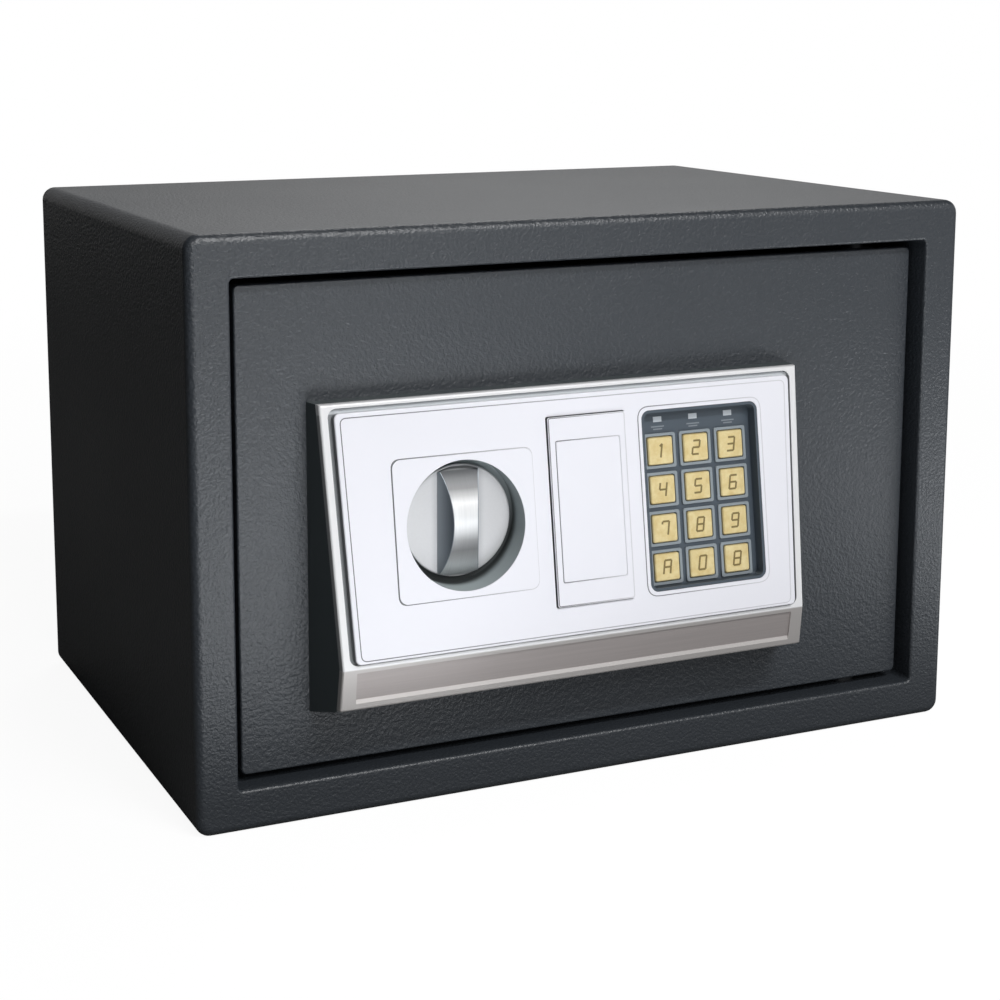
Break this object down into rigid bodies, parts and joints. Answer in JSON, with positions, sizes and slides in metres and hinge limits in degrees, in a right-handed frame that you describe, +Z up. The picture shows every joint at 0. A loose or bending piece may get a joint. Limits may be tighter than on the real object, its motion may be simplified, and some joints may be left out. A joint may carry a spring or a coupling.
{
  "type": "electronic safe",
  "caption": "Box-shaped steel safe with a recessed hinged door, a knob-driven bolt lock, a sloping control panel with keypad, and a covered override lock.",
  "frame": {"origin": "centre of the cabinet footprint, on the surface it stands on", "axes": "+X to the right seen from the front, +Y to the back, +Z up"},
  "size_m": [0.3, 0.2164, 0.2],
  "materials": {
    "cabinet_coat": "textured powder coat",
    "door_coat": "textured powder coat",
    "floor_felt": "needled felt",
    "welded_steel": "painted",
    "bright_steel": "plated",
    "zinc_steel": "zinc plated",
    "brass_parts": "turned",
    "black_plastic": "moulded",
    "red_plastic": "moulded",
    "silver_plastic": "satin silver",
    "pearl_plastic": "pearl silver",
    "knob_satin": "satin plated",
    "slate_plastic": "fine matt",
    "frame_blue": "satin",
    "mat_rubber": "matt",
    "board_green": "solder resist",
    "board_black": "moulded",
    "lens_plastic": "clear grey",
    "cell_sleeve": "plain sleeve",
    "coil_copper": "enamelled wire",
    "key_gold": "satin gold"
  },
  "bodies": {
    "cabinet": {"body_wrap": "cabinet_coat", "back_panel": "cabinet_coat", "front_frame": "cabinet_coat", "floor_mat": "floor_felt", "hinge_brackets": "welded_steel", "hinge_pins": "bright_steel", "hinge_washer": "zinc_steel"},
    "door": {"door_plate": "door_coat", "hinge_knuckles": "welded_steel", "lock_case": "door_coat", "case_posts": "zinc_steel", "case_screws": "bright_steel", "panel_screws": "bright_steel", "bolt_bushes": "black_plastic", "guide_pins": "bright_steel", "spindle_bush": "brass_parts", "knob_well": "pearl_plastic", "panel_base": "black_plastic", "panel_bezel": "silver_plastic", "panel_fascia": "pearl_plastic", "override_barrel": "brass_parts", "override_nut": "brass_parts", "plunger_spring": "bright_steel", "solenoid_frame": "zinc_steel", "solenoid_coil": "coil_copper", "keypad_tray": "slate_plastic", "key_frames": "frame_blue", "key_mat": "mat_rubber", "circuit_board": "board_green", "board_parts": "board_black", "indicator_lenses": "lens_plastic", "battery_tray": "black_plastic", "battery_cells": "cell_sleeve", "battery_contacts": "bright_steel", "reset_switch": "black_plastic"},
    "boltwork": {"bolt_carriage": "zinc_steel", "locking_bolts": "bright_steel"},
    "knob_drive": {"knob": "knob_satin", "spindle": "bright_steel", "spindle_clip": "bright_steel", "knob_cam": "zinc_steel"},
    "override_key_lock": {"override_plug": "brass_parts", "override_cam": "brass_parts"},
    "latch": {"solenoid_plunger": "bright_steel", "plunger_lifter": "zinc_steel"},
    "key_cover": {"key_cover": "pearl_plastic"},
    "battery_cover": {"battery_cover": "black_plastic"},
    "reset_button": {"reset_button": "red_plastic"},
    "key_1": {"key_1": "key_gold"},
    "key_2": {"key_2": "key_gold"},
    "key_3": {"key_3": "key_gold"},
    "key_4": {"key_4": "key_gold"},
    "key_5": {"key_5": "key_gold"},
    "key_6": {"key_6": "key_gold"},
    "key_7": {"key_7": "key_gold"},
    "key_8": {"key_8": "key_gold"},
    "key_9": {"key_9": "key_gold"},
    "key_a": {"key_a": "key_gold"},
    "key_0": {"key_0": "key_gold"},
    "key_b": {"key_b": "key_gold"}
  },
  "joints": [
    {"name": "door_swing", "type": "hinge", "parent": "cabinet", "child": "door", "pos_m": [0.11351, -0.08394, 0.1], "axis": [0, 0, 1], "range_deg": [0, 105]},
    {"name": "knob_turn", "type": "hinge", "parent": "door", "child": "knob_drive", "pos_m": [-0.0575, -0.1031, 0.0995], "axis": [0, 1, 0], "range_deg": [0, 60]},
    {"name": "bolt_throw", "type": "slide", "parent": "door", "child": "boltwork", "axis": [-1, 0, 0], "range_m": [0, 0.015]},
    {"name": "override_turn", "type": "hinge", "parent": "door", "child": "override_key_lock", "pos_m": [-0.0104, -0.10449, 0.10009], "axis": [0, 1, 0], "range_deg": [0, 90]},
    {"name": "latch_lift", "type": "slide", "parent": "door", "child": "latch", "axis": [0, 0, 1], "range_m": [0, 0.00212], "deforming": ["plunger_spring"]},
    {"name": "key_cover_pull", "type": "slide", "parent": "door", "child": "key_cover", "axis": [0, -0.9887, 0.1502], "range_m": [0, 0.012]},
    {"name": "battery_cover_pull", "type": "slide", "parent": "door", "child": "battery_cover", "axis": [0, 1, 0], "range_m": [0, 0.02]},
    {"name": "reset_button_press", "type": "slide", "parent": "door", "child": "reset_button", "axis": [0, -1, 0], "range_m": [0, 0.0012], "stiffness_N_per_m": 600},
    {"name": "touch_key_1_press", "type": "slide", "parent": "door", "child": "key_1", "axis": [0, 0.9887, -0.1502], "range_m": [0, 0.0007], "stiffness_N_per_m": 800},
    {"name": "touch_key_2_press", "type": "slide", "parent": "door", "child": "key_2", "axis": [0, 0.9887, -0.1502], "range_m": [0, 0.0007], "stiffness_N_per_m": 800},
    {"name": "touch_key_3_press", "type": "slide", "parent": "door", "child": "key_3", "axis": [0, 0.9887, -0.1502], "range_m": [0, 0.0007], "stiffness_N_per_m": 800},
    {"name": "touch_key_4_press", "type": "slide", "parent": "door", "child": "key_4", "axis": [0, 0.9887, -0.1502], "range_m": [0, 0.0007], "stiffness_N_per_m": 800},
    {"name": "touch_key_5_press", "type": "slide", "parent": "door", "child": "key_5", "axis": [0, 0.9887, -0.1502], "range_m": [0, 0.0007], "stiffness_N_per_m": 800},
    {"name": "touch_key_6_press", "type": "slide", "parent": "door", "child": "key_6", "axis": [0, 0.9887, -0.1502], "range_m": [0, 0.0007], "stiffness_N_per_m": 800},
    {"name": "touch_key_7_press", "type": "slide", "parent": "door", "child": "key_7", "axis": [0, 0.9887, -0.1502], "range_m": [0, 0.0007], "stiffness_N_per_m": 800},
    {"name": "touch_key_8_press", "type": "slide", "parent": "door", "child": "key_8", "axis": [0, 0.9887, -0.1502], "range_m": [0, 0.0007], "stiffness_N_per_m": 800},
    {"name": "touch_key_9_press", "type": "slide", "parent": "door", "child": "key_9", "axis": [0, 0.9887, -0.1502], "range_m": [0, 0.0007], "stiffness_N_per_m": 800},
    {"name": "touch_key_a_press", "type": "slide", "parent": "door", "child": "key_a", "axis": [0, 0.9887, -0.1502], "range_m": [0, 0.0007], "stiffness_N_per_m": 800},
    {"name": "touch_key_0_press", "type": "slide", "parent": "door", "child": "key_0", "axis": [0, 0.9887, -0.1502], "range_m": [0, 0.0007], "stiffness_N_per_m": 800},
    {"name": "touch_key_b_press", "type": "slide", "parent": "door", "child": "key_b", "axis": [0, 0.9887, -0.1502], "range_m": [0, 0.0007], "stiffness_N_per_m": 800}
  ],
  "couplings": [
    {"joint": "knob_turn", "follows": "bolt_throw", "rad_per_m": 69.813},
    {"joint": "override_turn", "follows": "latch_lift", "rad_per_m": 740.59}
  ]
}
